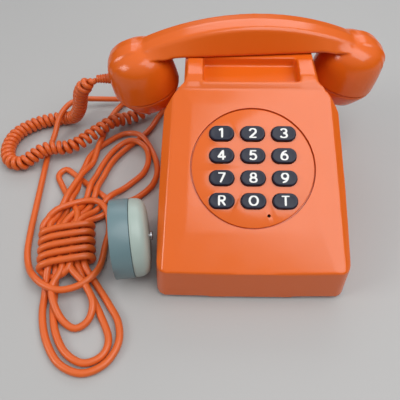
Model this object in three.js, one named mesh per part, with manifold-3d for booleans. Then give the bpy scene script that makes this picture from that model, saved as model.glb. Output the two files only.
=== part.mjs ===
// A push-button desk telephone with a round keypad plate, a handset across its back, a curly
// handset cord, and a line cord tied in a hank that ends in a round wall box.
// Millimetres, +Z up. The phone faces -Y and stands on its four feet at Z = 0.
import * as THREE from "three";
import { mergeVertices } from "three/addons/utils/BufferGeometryUtils.js";
import Module from "manifold-3d";

const wasm = await Module();
wasm.setup();

// ---------------------------------------------------------------- driving dimensions
const DEG = Math.PI / 180;
const GAP = 0.3; // clearance between touching pieces
const WALL = 2.6; // moulded wall of the housing

// Housing, in plan at the table and in height
const FRONT_Y = -101;
const REAR_Y = 101;
const HALF_WIDTH = 70; // widest, at the table
const RIM_Z = 2.8; // underside of the housing and of the base plate
const DRAFT = 0.07; // how far each wall leans in for each millimetre of height
const SHELF_FRONT_Y = 8;
const SHELF_FRONT_Z = 43; // the shelves that the handset's ends hang over
const SHELF_REAR_Z = 37;

// Sloping face
const FACE_SLOPE = 27.5;
const DIAL_Y = -34.5; // centre of the keypad plate
const DIAL_Z = 69.1;
const LOWER_FACET = -46; // along the slope from the plate's centre
const UPPER_FACET = 47;
const RIDGE = 59.5;
const PANEL_HALF_TOP = 43.5; // flat middle panel of the face
const PANEL_HALF_BOTTOM = 47.5;
const SIDE_FACET_TILT = 5;

// Cradle
const NECK_HALF = 49; // block that carries the cradle
const RIDGE_Z = 96.4;
const HORN_TOP_Z = 101.2;
const SADDLE_Z = 98.4;
const HORN_IN = 35.2;
const HORN_FRONT_Y = 22;
const HORN_TIP_Y = 49;
const REAR_LIP_Y = 92;
const RECESS_FLOOR_Z = 91.3;
const RECESS_REAR_Y = 52;

// Keypad
const PLATE_R = 43.3;
const PLATE_T = 3;
const PLATE_GAP = 0.5;
const KEY_PITCH_X = 21.8;
const KEY_PITCH_Y = 16.15;
const KEY_LENGTH = 17.3;
const KEY_WIDTH = 10.9;
const KEY_PROUD = 2.4;
const KEY_TRAVEL = 2.2;
const KEY_NAMES = [
  ["1", "2", "3"],
  ["4", "5", "6"],
  ["7", "8", "9"],
  ["r", "0", "t"],
];

// Handset, in its own frame: along X, underside of the grip at Z = 0
const HANDSET_Y = 70;
const HANDSET_Z = 98.9;
const HANDSET_YAW = 4.2; // it lies a little askew in the cradle
const GRIP_H = 20.6;
const GRIP_ARC_R = 215; // curve of the top of the grip
const GRIP_HALF_TOP = 10.4;
const GRIP_HALF_BOTTOM = 17.2;
const END_X = 83; // middle of each end, at the seam of its cap
const END_SEAM_Z = -35;
const END_TILT = 12; // the caps face a little towards each other
const END_R = 27.9;
const CAP_H = 15.6;
const CAP_FACE_R = 19.5;

// Cords and wall box
const LINE_CORD_D = 5.2;
const CURLY_CORD_D = 12.6; // outside of the coil
const BOX_R = 28.8;
const BOX_BASE_T = 13.7;
const BOX_COVER_T = 12.3;
const BOX_CENTRE = [-86.3, -67.7, 29.1]; // it stands on its rim beside the phone
const BOX_TURN = 8;
const BOX_LEAN = 0.3;
const BOX_ENTRY_ANGLE = 62; // where the cord goes through the rim

// ---------------------------------------------------------------- materials
const finish = (color, roughness, metalness = 0) => new THREE.MeshStandardMaterial({ color, roughness, metalness });
const orange = () => finish(0xe06a22, 0.3);
const cordOrange = () => finish(0xdd6a35, 0.5);
const keyBlack = () => finish(0x23273a, 0.35);
const rubber = () => finish(0x2a2a2c, 0.85);
const steel = () => finish(0xa8acb0, 0.35, 1);
const brass = () => finish(0xb8964a, 0.3, 1);
const board = () => finish(0x7a5a2c, 0.6);
const darkPlastic = () => finish(0x303236, 0.5);
const boxGrey = () => finish(0x748e93, 0.4);
const coverGrey = () => finish(0xacbbb2, 0.4);

// ---------------------------------------------------------------- solids
// A three.js geometry, moved by a matrix, as a manifold-3d solid.
function solid(geometry, matrix) {
  const plain = new THREE.BufferGeometry();
  plain.setAttribute("position", geometry.getAttribute("position").clone());
  if (geometry.index) plain.setIndex(geometry.index.clone());
  if (matrix) plain.applyMatrix4(matrix);
  const merged = mergeVertices(plain, 1e-4);
  return new wasm.Manifold(
    new wasm.Mesh({
      numProp: 3,
      vertProperties: new Float32Array(merged.attributes.position.array),
      triVerts: new Uint32Array(merged.index.array),
    }),
  );
}

function join(...solids) {
  return solids.reduce((whole, next) => whole.add(next));
}

function cut(whole, ...tools) {
  return tools.reduce((left, tool) => left.subtract(tool), whole);
}

function meshOf(name, shape, material) {
  const made = shape.getMesh();
  const position = new Float32Array(made.numVert * 3);
  for (let i = 0; i < made.numVert; i++) {
    position.set(made.vertProperties.subarray(i * made.numProp, i * made.numProp + 3), i * 3);
  }
  const geometry = new THREE.BufferGeometry();
  geometry.setAttribute("position", new THREE.BufferAttribute(position, 3));
  geometry.setIndex(new THREE.BufferAttribute(new Uint32Array(made.triVerts), 1));
  geometry.computeVertexNormals();
  const mesh = new THREE.Mesh(geometry, material);
  mesh.name = name;
  return mesh;
}

const at = (x, y, z) => new THREE.Matrix4().makeTranslation(x, y, z);
const turned = (axis, degrees) => new THREE.Matrix4().makeRotationAxis(new THREE.Vector3(...axis), degrees * DEG);
const Z_UP = turned([1, 0, 0], 90); // turns three.js's upright Y shapes to stand along Z

function block(x0, x1, y0, y1, z0, z1) {
  const box = new THREE.BoxGeometry(x1 - x0, y1 - y0, z1 - z0);
  return solid(box, at((x0 + x1) / 2, (y0 + y1) / 2, (z0 + z1) / 2));
}

// A round bar along Z from z0 to z1.
function drum(r, z0, z1, x = 0, y = 0, sides = 20) {
  const bar = new THREE.CylinderGeometry(r, r, z1 - z0, sides);
  return solid(bar, at(x, y, (z0 + z1) / 2).multiply(Z_UP));
}

// A turned shape about Z from a closed list of [radius, height].
function turnedShape(profile, sides = 40) {
  const points = profile.map(([r, z]) => new THREE.Vector2(r, z));
  return solid(new THREE.LatheGeometry(points, sides), Z_UP);
}

function outlineOf(points) {
  return new THREE.Shape(points.map(([x, y]) => new THREE.Vector2(x, y)));
}

function upright(shape, z0, z1, curveSegments = 8) {
  const made = new THREE.ExtrudeGeometry(shape, { depth: z1 - z0, bevelEnabled: false, curveSegments });
  return solid(made, at(0, 0, z0));
}

// An outline of [y, z] points carried across from x0 to x1.
function across(points, x0, x1) {
  const made = new THREE.ExtrudeGeometry(outlineOf(points), { depth: x1 - x0, bevelEnabled: false });
  const toSide = new THREE.Matrix4().set(0, 0, 1, x0, 1, 0, 0, 0, 0, 1, 0, 0, 0, 0, 0, 1);
  return solid(made, toSide);
}

// A stadium, long side along X, about the origin.
function stadium(length, width) {
  const r = width / 2;
  const half = length / 2 - r;
  const shape = new THREE.Shape();
  shape.moveTo(-half, -r);
  shape.lineTo(half, -r);
  shape.absarc(half, 0, r, -Math.PI / 2, Math.PI / 2, false);
  shape.lineTo(-half, r);
  shape.absarc(-half, 0, r, Math.PI / 2, (3 * Math.PI) / 2, false);
  return shape;
}

// Everything on the outer side of a plane, as a big block to cut with.
function beyond(point, normal) {
  const size = 500;
  const out = new THREE.Vector3(...normal).normalize();
  const turn = new THREE.Quaternion().setFromUnitVectors(new THREE.Vector3(0, 0, 1), out);
  const centre = new THREE.Vector3(...point).addScaledVector(out, size / 2);
  const place = new THREE.Matrix4().compose(centre, turn, new THREE.Vector3(1, 1, 1));
  return solid(new THREE.BoxGeometry(size, size, size), place);
}

// A round cord along a smooth curve through the points.
function cord(points, diameter, steps, sides) {
  const path = new THREE.CatmullRomCurve3(points.map((p) => new THREE.Vector3(...p)), false, "centripetal");
  const ring = new THREE.Shape();
  for (let i = 0; i < sides; i++) {
    const angle = (2 * Math.PI * i) / sides;
    const move = i ? "lineTo" : "moveTo";
    ring[move]((Math.cos(angle) * diameter) / 2, (Math.sin(angle) * diameter) / 2);
  }
  return solid(new THREE.ExtrudeGeometry(ring, { steps, extrudePath: path, bevelEnabled: false }));
}

// ---------------------------------------------------------------- housing
// A point of the sloping face, s up the slope and n out of it.
const facePoint = (x, s, n = 0) => [
  x,
  DIAL_Y + s * Math.cos(FACE_SLOPE * DEG) - n * Math.sin(FACE_SLOPE * DEG),
  DIAL_Z + s * Math.sin(FACE_SLOPE * DEG) + n * Math.cos(FACE_SLOPE * DEG),
];
const slopeNormal = (degrees) => [0, -Math.sin(degrees * DEG), Math.cos(degrees * DEG)];

// The footprint, moved in by inset, with bowed front and sides.
function footprint(inset) {
  const half = HALF_WIDTH - inset;
  const front = FRONT_Y + inset;
  const rear = REAR_Y - inset;
  const shape = new THREE.Shape();
  shape.moveTo(-half + 9, front + 0.8);
  shape.quadraticCurveTo(0, front - 0.8, half - 9, front + 0.8);
  shape.quadraticCurveTo(half - 2.4, front + 1.6, half - 1.4, front + 10);
  shape.bezierCurveTo(half + 1, front + 60, half, front + 120, half - 3.5, rear - 16);
  shape.quadraticCurveTo(half - 4.5, rear, half - 20, rear);
  shape.lineTo(-half + 20, rear);
  shape.quadraticCurveTo(-half + 4.5, rear, -half + 3.5, rear - 16);
  shape.bezierCurveTo(-half, front + 120, -half - 1, front + 60, -half + 1.4, front + 10);
  shape.quadraticCurveTo(-half + 2.4, front + 1.6, -half + 9, front + 0.8);
  return shape;
}

// Leans the upper end of an upright shape in by the draft.
function leanIn(geometry, height) {
  const p = geometry.getAttribute("position");
  for (let i = 0; i < p.count; i++) {
    const lean = DRAFT * p.getZ(i);
    p.setX(i, p.getX(i) * (1 - lean / HALF_WIDTH));
    p.setY(i, p.getY(i) * (1 - (lean * 0.5) / REAR_Y));
  }
  return geometry;
}

function housingBody(inset, bottomZ) {
  const height = 130;
  const walls = new THREE.ExtrudeGeometry(footprint(inset), { depth: height, bevelEnabled: false, curveSegments: 7 });
  const tall = solid(leanIn(walls, height)).subtract(block(-200, 200, -200, 200, -10, bottomZ));

  // Cradle block and face in side view
  const neckHalf = NECK_HALF - inset;
  const top = SADDLE_Z - inset;
  const ridgeY = facePoint(0, RIDGE)[1];
  const side = across(
    [
      [-140, -5],
      [140, -5],
      [140, top],
      [ridgeY + 4 + inset, top],
      [ridgeY + inset * 0.5, RIDGE_Z - inset],
      [-140, RIDGE_Z - inset],
    ],
    -100,
    100,
  );
  const shelfNormal = [0, (SHELF_FRONT_Z - SHELF_REAR_Z) / 97, 1];
  const shelfCut = (sign) => {
    const plan = outlineOf(
      [
        [62.5 - inset, SHELF_FRONT_Y - inset],
        [60.3 - inset, SHELF_FRONT_Y + 3 - inset * 0.4],
        [neckHalf, SHELF_FRONT_Y + 14.6 - inset * 0.4],
        [neckHalf, 140],
        [120, 140],
        [120, SHELF_FRONT_Y - inset],
      ].map(([x, y]) => [x * sign, y]),
    );
    const prism = new THREE.ExtrudeGeometry(plan, { depth: 130, bevelEnabled: false });
    const p = prism.getAttribute("position");
    for (let i = 0; i < p.count; i++) {
      const lean = (p.getZ(i) - 100) * 0.035;
      p.setX(i, p.getX(i) - sign * lean);
    }
    return solid(prism).subtract(beyond([0, 5, SHELF_FRONT_Z - inset], [0, -shelfNormal[1], -shelfNormal[2]]));
  };
  const facets = [
    beyond(facePoint(0, 0, -inset), slopeNormal(FACE_SLOPE)),
    beyond(facePoint(0, LOWER_FACET, -inset), slopeNormal(FACE_SLOPE + 1.5)),
    beyond(facePoint(0, UPPER_FACET, -inset), slopeNormal(FACE_SLOPE - 3)),
  ];
  const facetCuts = facets.map((f) => f.subtract(block(-200, 200, ridgeY + inset * 0.5, 200, -100, 400)));
  const sides = [-1, 1].flatMap((sign) => {
    const low = new THREE.Vector3(...facePoint(sign * PANEL_HALF_BOTTOM, -72, -inset));
    const high = new THREE.Vector3(...facePoint(sign * PANEL_HALF_TOP, UPPER_FACET, -inset));
    const edge = high.clone().sub(low).normalize();
    const panelNormal = new THREE.Vector3(...slopeNormal(FACE_SLOPE));
    const tilted = (degrees) => panelNormal.clone().applyAxisAngle(edge, sign * degrees * DEG);
    const facet = beyond(low.toArray(), tilted(SIDE_FACET_TILT).toArray());
    const rimLow = new THREE.Vector3(...facePoint(sign * (61.8 - inset), -72, -1.1 - inset));
    const rimHigh = new THREE.Vector3(...facePoint(sign * (57 - inset), UPPER_FACET, -1.1 - inset));
    const rimEdge = rimHigh.clone().sub(rimLow).normalize();
    const rimNormal = panelNormal.clone().applyAxisAngle(rimEdge, sign * 38 * DEG);
    const rim = beyond(rimLow.toArray(), rimNormal.toArray());
    const behind = block(-200, 200, ridgeY + inset * 0.5, 200, -100, 400);
    return [facet.subtract(behind), rim.subtract(behind)];
  });
  return cut(tall.intersect(side), shelfCut(1), shelfCut(-1), ...facetCuts, ...sides);
}

// One cradle horn: a rounded tongue in front of the handset and a lip behind it.
function horn(sign) {
  const ridgeY = facePoint(0, RIDGE)[1];
  const x0 = sign > 0 ? HORN_IN : -NECK_HALF;
  const x1 = sign > 0 ? NECK_HALF : -HORN_IN;
  const front = across(
    [
      [ridgeY, RIDGE_Z - 4],
      [ridgeY, RIDGE_Z],
      [ridgeY + 4, 99.3],
      [ridgeY + 9, 100.9],
      [ridgeY + 16, HORN_TOP_Z],
      [HORN_TIP_Y - 2, HORN_TOP_Z],
      [HORN_TIP_Y, HORN_TOP_Z - 0.9],
      [HORN_TIP_Y + 0.6, SADDLE_Z],
      [HORN_TIP_Y + 0.6, SADDLE_Z - 4],
    ],
    x0,
    x1,
  );
  const rear = across(
    [
      [REAR_LIP_Y, SADDLE_Z - 4],
      [REAR_LIP_Y, SADDLE_Z],
      [REAR_LIP_Y + 0.8, HORN_TOP_Z],
      [REAR_LIP_Y + 3.4, HORN_TOP_Z],
      [REAR_LIP_Y + 5.6, SADDLE_Z - 0.8],
      [REAR_LIP_Y + 5.6, SADDLE_Z - 4],
    ],
    x0,
    x1,
  );
  const outer = beyond([sign * (NECK_HALF + 0.2), 0, 94.5], [sign, 0, 0.33]);
  return cut(join(front, rear), outer);
}

function keypadOpening(radius, depth, sides = 44) {
  const slope = at(0, DIAL_Y, DIAL_Z).multiply(turned([1, 0, 0], FACE_SLOPE));
  const bore = new THREE.CylinderGeometry(radius, radius, depth + 10, sides);
  return solid(bore, slope.multiply(at(0, 0, 5 - depth / 2)).multiply(Z_UP));
}

const PLUNGER_X = 41;
const SCREW_PLACES = [
  [-48, -72],
  [48, -72],
  [-40, 84],
  [40, 84],
];
const LINE_EXIT = [-30, REAR_Y, 12];
const CURLY_EXIT = [-52, REAR_Y, 14];

function upperHousing() {
  const ridgeY = facePoint(0, RIDGE)[1];
  const outer = join(housingBody(0, RIM_Z), horn(1), horn(-1));
  const recess = across(
    [
      [HORN_FRONT_Y, 120],
      [HORN_FRONT_Y + 1.2, RECESS_FLOOR_Z + 1.5],
      [HORN_FRONT_Y + 3, RECESS_FLOOR_Z],
      [RECESS_REAR_Y, RECESS_FLOOR_Z],
      [RECESS_REAR_Y, 120],
    ],
    -HORN_IN,
    HORN_IN,
  );
  const lip = across(
    [
      [ridgeY, RIDGE_Z - 3],
      [ridgeY, RIDGE_Z],
      [ridgeY + 3.2, 99.2],
      [HORN_FRONT_Y, 99.2],
      [HORN_FRONT_Y, RIDGE_Z - 3],
    ],
    -HORN_IN - 1,
    HORN_IN + 1,
  );
  const hollow = housingBody(WALL, -5);
  const underRecess = block(
    -HORN_IN - WALL, HORN_IN + WALL, HORN_FRONT_Y - WALL, RECESS_REAR_Y + WALL, RECESS_FLOOR_Z - WALL, 130);
  const bosses = SCREW_PLACES.map(([x, y]) => drum(4.2, 9, 125, x, y, 16));
  const bossHoles = SCREW_PLACES.map(([x, y]) => drum(1.5, 0, 22, x, y, 10));
  const plungerHoles = [-1, 1].map((sign) => drum(3.4, 80, 120, sign * PLUNGER_X, HANDSET_Y, 20));
  const exits = [
    block(LINE_EXIT[0] - 4.3, LINE_EXIT[0] + 4.3, REAR_Y - 12, REAR_Y + 5, 0, LINE_EXIT[2] + 4),
    block(CURLY_EXIT[0] - 5.3, CURLY_EXIT[0] + 5.3, REAR_Y - 12, REAR_Y + 5, 0, CURLY_EXIT[2] + 5),
  ];
  const shell = cut(join(outer, lip), recess, cut(hollow, underRecess));
  const inside = join(...bosses).intersect(housingBody(WALL - 0.8, RIM_Z));
  return cut(join(shell, inside), keypadOpening(PLATE_R + PLATE_GAP, 12), ...plungerHoles, ...bossHoles, ...exits);
}

// ---------------------------------------------------------------- base
function basePlate() {
  const plan = new THREE.ExtrudeGeometry(footprint(WALL + 1.1), { depth: 2.4, bevelEnabled: false, curveSegments: 5 });
  const plate = solid(plan, at(0, 0, RIM_Z));
  const screwHoles = SCREW_PLACES.map(([x, y]) => drum(2, 0, 8, x, y, 12));
  const soundSlots = [-3, -2, -1, 0, 1, 2, 3].map((i) => block(i * 7 - 1.5, i * 7 + 1.5, -62, -30, 0, 8));
  return cut(plate, ...screwHoles, ...soundSlots);
}

const FEET = [
  ["front_left", -56, -84],
  ["front_right", 56, -84],
  ["rear_left", -54, 84],
  ["rear_right", 54, 84],
];

function foot(x, y) {
  return turnedShape([[0, 0], [6.6, 0], [7.4, 0.8], [7.4, 2.5], [0, 2.5]], 18).translate([x, y, 0]);
}

const housingScrew = (x, y) =>
  join(drum(3.4, 1.2, RIM_Z - GAP, x, y, 12), drum(1.2, 2, 18, x, y, 8));

// ---------------------------------------------------------------- keypad, in the frame of the face
const keyPlace = (row, column) => [(column - 1) * KEY_PITCH_X, (1.5 - row) * KEY_PITCH_Y];

function keypadPlate() {
  const plate = turnedShape(
    [[0, -PLATE_T], [PLATE_R, -PLATE_T], [PLATE_R, -0.5], [PLATE_R - 0.5, 0], [0, 0]], 44);
  const slots = KEY_NAMES.flatMap((names, row) =>
    names.map((_, column) => {
      const [x, y] = keyPlace(row, column);
      return upright(stadium(KEY_LENGTH + 0.7, KEY_WIDTH + 0.7), -8, 4, 4).translate([x, y, 0]);
    }),
  );
  const pinhole = drum(1.2, -8, 4, 10.6, -34.3, 10);
  return cut(plate, ...slots, pinhole);
}

function keyCap() {
  const cap = new THREE.ExtrudeGeometry(stadium(KEY_LENGTH - 1.2, KEY_WIDTH - 1.2), {
    depth: KEY_PROUD + 4.4 - 1.2,
    bevelThickness: 0.6,
    bevelSize: 0.6,
    bevelSegments: 1,
    curveSegments: 4,
  });
  const flange = upright(stadium(KEY_LENGTH + 2.4, KEY_WIDTH + 2.6), -5, -PLATE_T - 0.4, 3);
  return join(solid(cap, at(0, 0, -4.4 + 0.6)), flange);
}

// ---------------------------------------------------------------- ringer
const GONG_X = 27.5;
const GONG_Y = -38;
const CLAPPER_Y = -23.6;

function gong() {
  return turnedShape(
    [[2.2, 9.9], [12.6, 9.4], [19.6, 6.4], [22.5, 1.2], [22.9, 0], [24, 0], [20.5, 7.4], [13, 10.6], [2.2, 11.2],
      [2.2, 9.9]],
    20,
  );
}

const gongScrew = () => join(drum(4.6, 11.6, 13.4, 0, 0, 16), drum(1.9, -4.7, 12, 0, 0, 10));

function ringerFrame() {
  const plate = block(-40, 40, -44, -4, 7.4, 9);
  const posts = [-1, 1].map((sign) => drum(4.5, 9, 11, sign * GONG_X, GONG_Y, 12));
  const coilSeat = block(-19, 19, -16, -4, 9, 11);
  const clapperPin = drum(1.2, 9, 13.1, 0, CLAPPER_Y, 10);
  return join(plate, ...posts, coilSeat, clapperPin);
}

function clapper() {
  const arm = block(-0.8, 0.8, -36.5, -24.6, 14.6, 16.2);
  const hub = drum(3, 13.4, 17.4, 0, CLAPPER_Y, 14);
  const ball = solid(new THREE.SphereGeometry(2, 12, 8), at(0, -38, 15.4));
  return join(arm, hub, ball);
}

// ---------------------------------------------------------------- hook switch
function plunger() {
  return join(
    turnedShape([[0, -14.6], [2.8, -14.6], [2.8, -0.8], [2, -0.1], [0, -0.1]], 18),
    drum(4.6, -14.6, -12.8, 0, 0, 16),
  );
}

const LEVER_PIVOT = [0, 88, 82];

function hookLever() {
  const bar = block(-46, 46, 66, 74, 80.6, 83.4);
  const arms = [-30, 30].map((x) => block(x - 3, x + 3, 74, 88, 80.6, 83.4));
  const shaft = new THREE.CylinderGeometry(2, 2, 66, 14);
  const turn = at(...LEVER_PIVOT).multiply(turned([0, 0, 1], 90));
  return join(bar, ...arms, solid(shaft, turn));
}

// The switch, with two ears that hold the lever's shaft.
function hookSwitchBlock() {
  const ears = [-18, 18].map((x) => block(x - 2, x + 2, 80, 92, 64, 86));
  const bore = new THREE.CylinderGeometry(2.3, 2.3, 60, 14);
  const turn = at(...LEVER_PIVOT).multiply(turned([0, 0, 1], 90));
  return cut(join(block(-20, 20, 64, 84, 64, 76), ...ears), solid(bore, turn));
}

// ---------------------------------------------------------------- handset, in its own frame
// Rings of a closed lofted bar, each a list of [x, y, z], joined end to end and capped.
function loft(rings) {
  const sides = rings[0].length;
  const position = rings.flat(2);
  const index = [];
  for (let r = 0; r + 1 < rings.length; r++) {
    for (let i = 0; i < sides; i++) {
      const a = r * sides + i;
      const b = r * sides + ((i + 1) % sides);
      index.push(a, b, b + sides, a, b + sides, a + sides);
    }
  }
  for (let i = 1; i + 1 < sides; i++) {
    index.push(0, i + 1, i);
    const last = (rings.length - 1) * sides;
    index.push(last, last + i, last + i + 1);
  }
  const geometry = new THREE.BufferGeometry();
  geometry.setAttribute("position", new THREE.Float32BufferAttribute(position, 3));
  geometry.setIndex(index);
  return solid(geometry);
}

// Where the grip runs on over an end: place and height of its top, lean of the section.
const GRIP_OVER_END = [[92, 3.4, 8], [99, 1.4, 22], [105.5, -2.4, 40], [111, -8.6, 62]];
const GRIP_END_DEPTH = 6.5;

function gripSection(x, top, lean, depth) {
  const [t, b] = [GRIP_HALF_TOP, GRIP_HALF_BOTTOM];
  const half = [[b - 1.5, depth], [b, depth - 1.8], [t + 1.2, 2.2], [t - 0.8, 0.4]];
  const outline = [...half, [0, -0.4], ...half.map(([y, d]) => [-y, d]).reverse()];
  return outline.map(([y, d]) => [x - d * Math.sin(lean * DEG), y, top - d * Math.cos(lean * DEG)]);
}

function grip() {
  const over = (side) => GRIP_OVER_END.map(([x, top, lean]) => gripSection(side * x, top, side * lean, GRIP_END_DEPTH));
  const stations = over(-1).reverse();
  for (let x = -84; x <= 84; x += 12) {
    const top = GRIP_H - GRIP_ARC_R + Math.sqrt(GRIP_ARC_R ** 2 - x * x);
    const low = Math.abs(x) > 62 ? -2 : 0;
    stations.push(gripSection(x, top, 0, top - low));
  }
  return loft([...stations, ...over(1)]);
}

// Matrix of one end: its cap's seam in the XY plane, dome up. side is -1 or 1.
const endPlace = (side) => at(side * END_X, 0, END_SEAM_Z).multiply(turned([0, 1, 0], side * END_TILT));

function handsetShell() {
  const dome = new THREE.LatheGeometry(
    [[0, 0.2], [END_R - 0.5, 0.2], [END_R, 1.5], [27.6, 12], [26.6, 20.4], [24.6, 27.4], [20.8, 32.6], [14.8, 36.3],
      [7.6, 38.2], [0, 38.7]].map(([r, z]) => new THREE.Vector2(r, z)),
    30,
  );
  const well = new THREE.LatheGeometry(
    [[0, -6], [24.6, -6], [24.6, 14], [21, 24], [12, 29], [0, 30]].map(([r, z]) => new THREE.Vector2(r, z)), 18);
  const ends = [-1, 1].map((side) => solid(dome, endPlace(side).multiply(Z_UP)));
  const wells = [-1, 1].map((side) => solid(well, endPlace(side).multiply(Z_UP)));
  const entry = new THREE.CylinderGeometry(5, 5, 24, 14);
  const entryPlace = at(-END_X - 26, 0, CORD_ENTRY_Z).multiply(turned([0, 0, 1], 90));
  return cut(join(grip(), ...ends), ...wells, solid(entry, entryPlace));
}

const CORD_ENTRY_Z = -27;

function endCap(holes) {
  const cup = turnedShape(
    [[0, -CAP_H], [CAP_FACE_R - 1.5, -CAP_H], [CAP_FACE_R, -CAP_H + 0.8], [24.6, -7], [END_R - 0.4, -1], [END_R - 0.4, -0.1],
      [24.9, -0.1], [24.9, -1.4], [22.6, -6.4], [CAP_FACE_R - 2, -CAP_H + 2.6], [0, -CAP_H + 2.6]],
    30,
  );
  const drills = [drum(1.3, -30, 2, 0, 0, 6)];
  for (let i = 0; i < holes; i++) {
    const angle = (2 * Math.PI * i) / holes;
    drills.push(drum(1.3, -30, 2, 9 * Math.cos(angle), 9 * Math.sin(angle), 6));
  }
  return cut(cup, ...drills);
}

function capsule(height) {
  return turnedShape([[0, -height], [13, -height], [18, -height + 3], [21, -2], [21.6, 0], [21.6, 3], [17, 6], [0, 6]], 16);
}

// ---------------------------------------------------------------- wall box, about its own axis
function boxBase() {
  const cup = turnedShape(
    [[0, 2.2], [BOX_R - 2.2, 2.2], [BOX_R - 2.2, 0], [BOX_R, 0], [BOX_R, BOX_BASE_T - 0.8], [BOX_R - 0.8, BOX_BASE_T],
      [BOX_R - 2.4, BOX_BASE_T], [BOX_R - 2.4, 4.6], [0, 4.6]],
    32,
  );
  const entry = new THREE.CylinderGeometry(3.2, 3.2, 12, 14);
  const place = turned([0, 0, 1], BOX_ENTRY_ANGLE).multiply(at(BOX_R, 0, 9)).multiply(turned([0, 0, 1], 90));
  return cut(cup, drum(2.2, -5, 10, 17, 0, 12), drum(2.2, -5, 10, -17, 0, 12), solid(entry, place));
}

const boxTerminal = () => cut(block(-14, 14, -9, 9, 5, 12), drum(3, 0, 20, 0, 0, 12));
const boxScrew = () => join(drum(3.2, 27, 28.6, 0, 0, 14), drum(1.6, 6, 28, 0, 0, 10));

function boxCover() {
  const t = BOX_BASE_T + GAP;
  return cut(
    turnedShape(
      [[0, t + BOX_COVER_T - 2.4], [BOX_R - 8, t + BOX_COVER_T - 2.6], [BOX_R - 3.4, t + 2.6], [BOX_R - 3, t],
        [BOX_R - 0.3, t], [BOX_R - 0.6, t + 5], [BOX_R - 2, t + 8.6], [BOX_R - 5.4, t + 11], [BOX_R - 11, t + 12],
      [0, t + BOX_COVER_T]],
      32,
    ),
    drum(2, 0, 60, 0, 0, 12),
  );
}

// ---------------------------------------------------------------- cords
const CURLY_POINTS = [
  [-125, 60.5, 70.5], [-134, 61, 65.5], [-141.5, 65, 54], [-146.5, 71, 38], [-153, 77, 23],
  [-161, 83, 11.5], [-171, 86, 7.2], [-181, 84.5, 6.8], [-192.5, 80.5, 6.8], [-203, 73.5, 6.8],
  [-211.5, 64, 6.8], [-215, 51, 6.8], [-213.5, 37.5, 6.8], [-207, 27, 7], [-197, 24.5, 8],
  [-188, 30, 10.6], [-180, 36.5, 12.3], [-171, 40, 12.3], [-160, 41, 11.5], [-150, 46, 11.8],
  [-141, 55, 12.5], [-131, 66, 12.5], [-121, 77, 11.8], [-111, 85, 7.6], [-99, 92, 7.6], [-87, 100, 11.6],
  [-76, 108, 12.9], [-66, 113.5, 13.4], [-57, 115.5, 13.8], [-52.6, 113, 14], [-52, 107.8, 14],
];
const BIG_LOOP_POINTS = [
  [-131, 61, 2.9], [-131, 72, 2.9], [-128, 90, 2.9], [-121, 108, 2.9], [-112, 122, 2.9], [-104, 134, 2.9],
  [-93, 140, 2.9], [-83, 133, 2.9], [-86, 121, 3.6], [-98, 114, 6], [-112, 114, 8.6], [-126, 113, 9],
  [-143, 112, 10], [-157, 105, 15], [-166, 93, 18.2], [-172.5, 79, 15.5], [-176, 64, 7], [-178.5, 47, 2.9],
  [-177, 16, 2.9], [-175, -17, 2.9], [-173, -47, 2.9], [-170.5, -66, 2.9], [-165.5, -79, 4.4], [-159, -88, 8.8],
  [-150, -95.5, 9.6], [-137, -100, 9.7], [-123, -96, 9.7], [-114, -87.5, 10], [-111.6, -75.5, 4.6], [-111.2, -58, 2.9],
  [-110, -42, 2.9],
];
const LINE_START_POINTS = [
  [-30, 106.8, 12], [-30, 112, 11.4], [-33, 119, 8], [-42, 125, 4], [-54, 125, 2.9], [-65, 118.5, 2.9],
  [-73, 108, 2.9], [-80, 94, 2.9], [-85, 78, 2.9],
];
const LINE_END_POINTS = [[-105, -26, 3], [-101, -29, 3.4], [-96.5, -33, 6], [-94.2, -38.4, 10.8], [-93.6, -42.5, 15.5]];

// The hank: loops above the tie, the turns of the tie, and loops below it.
const UPPER_LOOPS = [
  [-146, -39], [-152, -19], [-162, -3], [-167.5, 13], [-163, 24], [-151, 24], [-144, 40], [-131.5, 57.2], [-111, 72.4],
  [-97, 71], [-84, 62], [-76, 45], [-73.4, 24], [-76.5, 5], [-89, -10], [-104, -21], [-118, -34],
];
const LOWER_LOOPS = [
  [-152, -90], [-152, -117], [-145.5, -136], [-128, -154], [-112, -159], [-98, -153], [-87.5, -135], [-91, -118],
  [-104, -101], [-114, -84],
];
const LOOPS_TOP = 6.2;
const TIE = { x: -139, y: -62, width: 44, height: 18.4, length: 38, turn: 10 };

function loops(points) {
  const shape = new THREE.Shape();
  const curve = new THREE.CatmullRomCurve3(points.map(([x, y]) => new THREE.Vector3(x, y, 0)), true, "centripetal");
  curve.getPoints(points.length * 3).slice(0, -1).forEach((p, i) => (i ? shape.lineTo(p.x, p.y) : shape.moveTo(p.x, p.y)));
  return upright(shape, 0.2, LOOPS_TOP);
}

function tieTurns() {
  const roll = upright(stadium(TIE.width, TIE.height), -TIE.length / 2, TIE.length / 2, 6);
  const place = at(TIE.x, TIE.y, TIE.height / 2 + 0.2).multiply(turned([0, 0, 1], TIE.turn)).multiply(Z_UP);
  return roll.transform(place.elements);
}

// ---------------------------------------------------------------- assembly
const phone = new THREE.Group();
const body = new THREE.Group();
phone.add(body);
body.add(meshOf("upper_housing", upperHousing(), orange()));
body.add(meshOf("base_plate", basePlate(), steel()));
for (const [place, x, y] of FEET) body.add(meshOf("foot_" + place, foot(x, y), rubber()));
SCREW_PLACES.forEach(([x, y], i) => {
  body.add(meshOf("housing_screw_" + (i + 1), housingScrew(x, y), steel()));
});

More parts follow.
